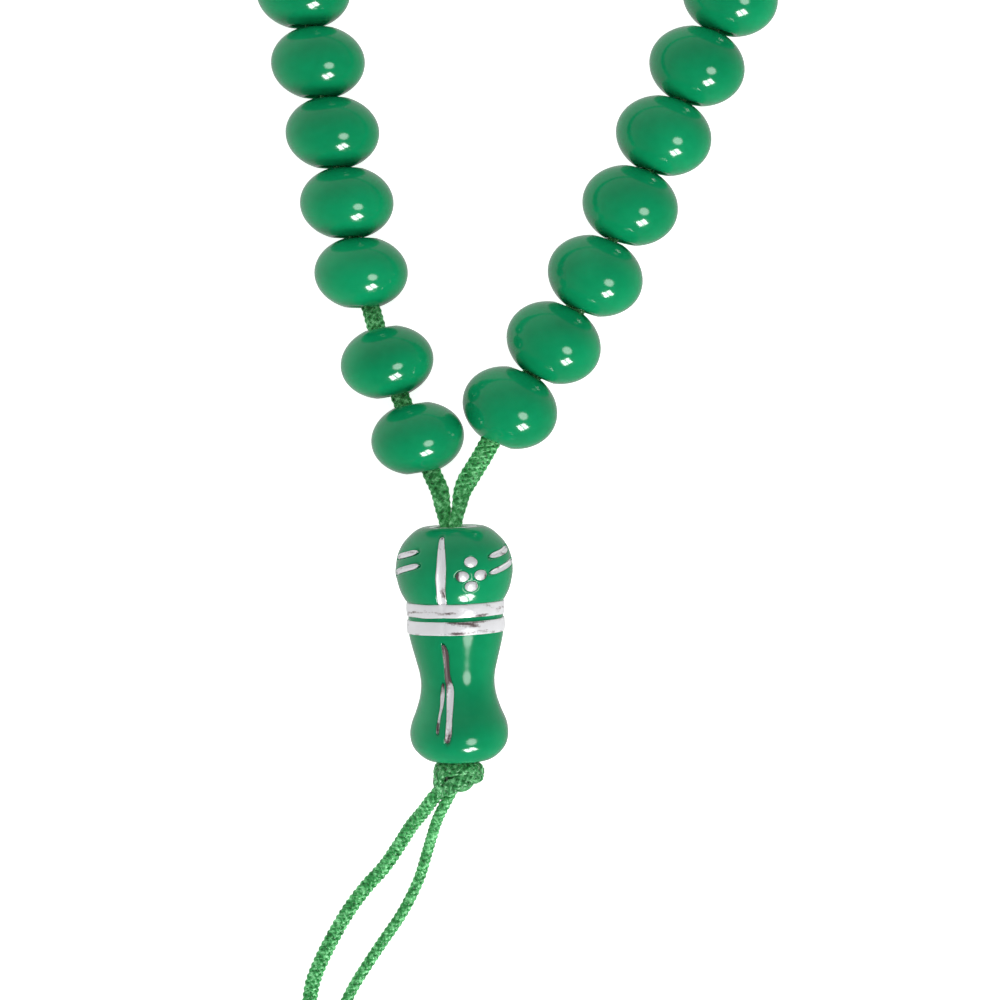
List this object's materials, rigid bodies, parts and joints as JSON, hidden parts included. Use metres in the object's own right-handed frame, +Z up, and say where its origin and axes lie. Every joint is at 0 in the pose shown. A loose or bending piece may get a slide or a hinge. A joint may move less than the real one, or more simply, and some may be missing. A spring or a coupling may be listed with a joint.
{
  "type": "prayer beads",
  "caption": "Loop of glossy green prayer beads with flat dividers, a long waisted end bead with silver inlays, and a braided cord knotted below it with two free tails.",
  "frame": {"origin": "on the surface that the object lies on, under the middle of its box without the free tails", "axes": "+Y runs along the long bead, from its foot to the far end of the loop; +Z is up; +X is to the right seen from above"},
  "size_m": [0.0586, 0.1518, 0.0099],
  "materials": {
    "jade_bead": "highly polished, slightly translucent jade green",
    "jade_divider": "highly polished jade green",
    "jade_imam": "highly polished jade green, with pressed grooves",
    "silver_foil": "pressed silver foil, bright and a little uneven",
    "braided_cord": "satin braided nylon",
    "cord_knot": "satin braided nylon, pulled tight"
  },
  "bodies": {
    "cord": {"loop_cord": "braided_cord", "knot": "cord_knot"},
    "imam": {"imam_body": "jade_imam", "imam_upper_band": "silver_foil", "imam_lower_band": "silver_foil", "imam_mouth_rim": "silver_foil", "imam_head_stripes": "silver_foil", "imam_head_dots": "silver_foil", "imam_head_dashes": "silver_foil", "imam_waist_streaks": "silver_foil"},
    "tails": {"first_tail": "braided_cord", "last_tail": "braided_cord", "end_knot": "cord_knot"},
    "bead_01": {"bead_01": "jade_bead"},
    "bead_02": {"bead_02": "jade_bead"},
    "bead_03": {"bead_03": "jade_bead"},
    "bead_04": {"bead_04": "jade_bead"},
    "bead_05": {"bead_05": "jade_bead"},
    "bead_06": {"bead_06": "jade_bead"},
    "bead_07": {"bead_07": "jade_bead"},
    "bead_08": {"bead_08": "jade_bead"},
    "bead_09": {"bead_09": "jade_bead"},
    "bead_10": {"bead_10": "jade_bead"},
    "bead_11": {"bead_11": "jade_bead"},
    "divider_1": {"divider_1": "jade_divider"},
    "bead_12": {"bead_12": "jade_bead"},
    "bead_13": {"bead_13": "jade_bead"},
    "bead_14": {"bead_14": "jade_bead"},
    "bead_15": {"bead_15": "jade_bead"},
    "bead_16": {"bead_16": "jade_bead"},
    "bead_17": {"bead_17": "jade_bead"},
    "bead_18": {"bead_18": "jade_bead"},
    "bead_19": {"bead_19": "jade_bead"},
    "bead_20": {"bead_20": "jade_bead"},
    "bead_21": {"bead_21": "jade_bead"},
    "bead_22": {"bead_22": "jade_bead"},
    "divider_2": {"divider_2": "jade_divider"},
    "bead_23": {"bead_23": "jade_bead"},
    "bead_24": {"bead_24": "jade_bead"},
    "bead_25": {"bead_25": "jade_bead"},
    "bead_26": {"bead_26": "jade_bead"},
    "bead_27": {"bead_27": "jade_bead"},
    "bead_28": {"bead_28": "jade_bead"},
    "bead_29": {"bead_29": "jade_bead"},
    "bead_30": {"bead_30": "jade_bead"},
    "bead_31": {"bead_31": "jade_bead"},
    "bead_32": {"bead_32": "jade_bead"},
    "bead_33": {"bead_33": "jade_bead"}
  },
  "joints": [
    {"name": "imam_slide", "type": "slide", "parent": "cord", "child": "imam", "axis": [0, 0.9983, 0.0586], "range_m": [0, 0.0015]},
    {"name": "bead_01_slide", "type": "slide", "parent": "cord", "child": "bead_01", "axis": [-0.3453, 0.9385, 0], "range_m": [-0.0016, 0]},
    {"name": "bead_02_slide", "type": "slide", "parent": "cord", "child": "bead_02", "axis": [-0.3453, 0.9385, 0], "range_m": [-0.0009, 0]},
    {"name": "tails_swing", "type": "hinge", "parent": "cord", "child": "tails", "pos_m": [-0.01008, -0.06004, 0.00396], "axis": [0, 0, 1], "range_deg": [-20, 20]},
    {"name": "spin_bead_03", "type": "hinge", "parent": "cord", "child": "bead_03", "pos_m": [-0.01715, -0.01752, 0.00407], "axis": [0.0348, 0.9994, 0], "continuous": true},
    {"name": "spin_bead_04", "type": "hinge", "parent": "cord", "child": "bead_04", "pos_m": [-0.01818, -0.01163, 0.00407], "axis": [0.044, 0.999, 0], "continuous": true},
    {"name": "spin_bead_05", "type": "hinge", "parent": "cord", "child": "bead_05", "pos_m": [-0.01921, -0.00573, 0.00407], "axis": [0.0433, 0.9991, 0], "continuous": true},
    {"name": "spin_bead_06", "type": "hinge", "parent": "cord", "child": "bead_06", "pos_m": [-0.02025, 0.00019, 0.00407], "axis": [0.0426, 0.9991, 0], "continuous": true},
    {"name": "spin_bead_07", "type": "hinge", "parent": "cord", "child": "bead_07", "pos_m": [-0.02128, 0.00613, 0.00407], "axis": [0.0418, 0.9991, 0], "continuous": true},
    {"name": "spin_bead_08", "type": "hinge", "parent": "cord", "child": "bead_08", "pos_m": [-0.02233, 0.01213, 0.00407], "axis": [0.023, 0.9997, 0], "continuous": true},
    {"name": "spin_bead_09", "type": "hinge", "parent": "cord", "child": "bead_09", "pos_m": [-0.02338, 0.01818, 0.00407], "axis": [-0.0536, 0.9986, 0], "continuous": true},
    {"name": "spin_bead_10", "type": "hinge", "parent": "cord", "child": "bead_10", "pos_m": [-0.02445, 0.02426, 0.00407], "axis": [-0.1296, 0.9916, 0], "continuous": true},
    {"name": "spin_bead_11", "type": "hinge", "parent": "cord", "child": "bead_11", "pos_m": [-0.02537, 0.03041, 0.00407], "axis": [-0.0644, 0.9979, 0], "continuous": true},
    {"name": "spin_divider_1", "type": "hinge", "parent": "cord", "child": "divider_1", "pos_m": [-0.02519, 0.03544, 0.00407], "axis": [0.1334, 0.9911, 0], "continuous": true},
    {"name": "spin_bead_12", "type": "hinge", "parent": "cord", "child": "bead_12", "pos_m": [-0.02403, 0.04034, 0.00407], "axis": [0.3263, 0.9453, 0], "continuous": true},
    {"name": "spin_bead_13", "type": "hinge", "parent": "cord", "child": "bead_13", "pos_m": [-0.02121, 0.04606, 0.00407], "axis": [0.5514, 0.8342, 0], "continuous": true},
    {"name": "spin_bead_14", "type": "hinge", "parent": "cord", "child": "bead_14", "pos_m": [-0.01704, 0.05091, 0.00407], "axis": [0.7423, 0.67, 0], "continuous": true},
    {"name": "spin_bead_15", "type": "hinge", "parent": "cord", "child": "bead_15", "pos_m": [-0.01177, 0.05457, 0.00407], "axis": [0.8865, 0.4627, 0], "continuous": true},
    {"name": "spin_bead_16", "type": "hinge", "parent": "cord", "child": "bead_16", "pos_m": [-0.00574, 0.0568, 0.00407], "axis": [0.9743, 0.2252, 0], "continuous": true},
    {"name": "spin_bead_17", "type": "hinge", "parent": "cord", "child": "bead_17", "pos_m": [0.00068, 0.05744, 0.00407], "axis": [0.9996, -0.0276, 0], "continuous": true},
    {"name": "spin_bead_18", "type": "hinge", "parent": "cord", "child": "bead_18", "pos_m": [0.00707, 0.05644, 0.00407], "axis": [0.9602, -0.2793, 0], "continuous": true},
    {"name": "spin_bead_19", "type": "hinge", "parent": "cord", "child": "bead_19", "pos_m": [0.01302, 0.05385, 0.00407], "axis": [0.8581, -0.5135, 0], "continuous": true},
    {"name": "spin_bead_20", "type": "hinge", "parent": "cord", "child": "bead_20", "pos_m": [0.01813, 0.04982, 0.00407], "axis": [0.6994, -0.7147, 0], "continuous": true},
    {"name": "spin_bead_21", "type": "hinge", "parent": "cord", "child": "bead_21", "pos_m": [0.02206, 0.0446, 0.00407], "axis": [0.4941, -0.8694, 0], "continuous": true},
    {"name": "spin_bead_22", "type": "hinge", "parent": "cord", "child": "bead_22", "pos_m": [0.02454, 0.03854, 0.00407], "axis": [0.2555, -0.9668, 0], "continuous": true},
    {"name": "spin_divider_2", "type": "hinge", "parent": "cord", "child": "divider_2", "pos_m": [0.02534, 0.03346, 0.00407], "axis": [0.0557, -0.9984, 0], "continuous": true},
    {"name": "spin_bead_23", "type": "hinge", "parent": "cord", "child": "bead_23", "pos_m": [0.02511, 0.02832, 0.00407], "axis": [-0.1468, -0.9892, 0], "continuous": true},
    {"name": "spin_bead_24", "type": "hinge", "parent": "cord", "child": "bead_24", "pos_m": [0.0233, 0.02199, 0.00407], "axis": [-0.3962, -0.9182, 0], "continuous": true},
    {"name": "spin_bead_25", "type": "hinge", "parent": "cord", "child": "bead_25", "pos_m": [0.0204, 0.01622, 0.00407], "axis": [-0.409, -0.9125, 0], "continuous": true},
    {"name": "spin_bead_26", "type": "hinge", "parent": "cord", "child": "bead_26", "pos_m": [0.01743, 0.01047, 0.00407], "axis": [-0.3389, -0.9408, 0], "continuous": true},
    {"name": "spin_bead_27", "type": "hinge", "parent": "cord", "child": "bead_27", "pos_m": [0.01445, 0.0047, 0.00407], "axis": [-0.2719, -0.9623, 0], "continuous": true},
    {"name": "spin_bead_28", "type": "hinge", "parent": "cord", "child": "bead_28", "pos_m": [0.01149, -0.00104, 0.00407], "axis": [-0.2725, -0.9622, 0], "continuous": true},
    {"name": "spin_bead_29", "type": "hinge", "parent": "cord", "child": "bead_29", "pos_m": [0.00852, -0.00679, 0.00407], "axis": [-0.2731, -0.962, 0], "continuous": true},
    {"name": "spin_bead_30", "type": "hinge", "parent": "cord", "child": "bead_30", "pos_m": [0.00554, -0.01255, 0.00407], "axis": [-0.2737, -0.9618, 0], "continuous": true},
    {"name": "spin_bead_31", "type": "hinge", "parent": "cord", "child": "bead_31", "pos_m": [0.00245, -0.01836, 0.00407], "axis": [-0.3512, -0.9363, 0], "continuous": true},
    {"name": "spin_bead_32", "type": "hinge", "parent": "cord", "child": "bead_32", "pos_m": [-0.0012, -0.02385, 0.00407], "axis": [-0.4258, -0.9048, 0], "continuous": true},
    {"name": "spin_bead_33", "type": "hinge", "parent": "cord", "child": "bead_33", "pos_m": [-0.00503, -0.02918, 0.00407], "axis": [-0.406, -0.9139, 0], "continuous": true}
  ]
}
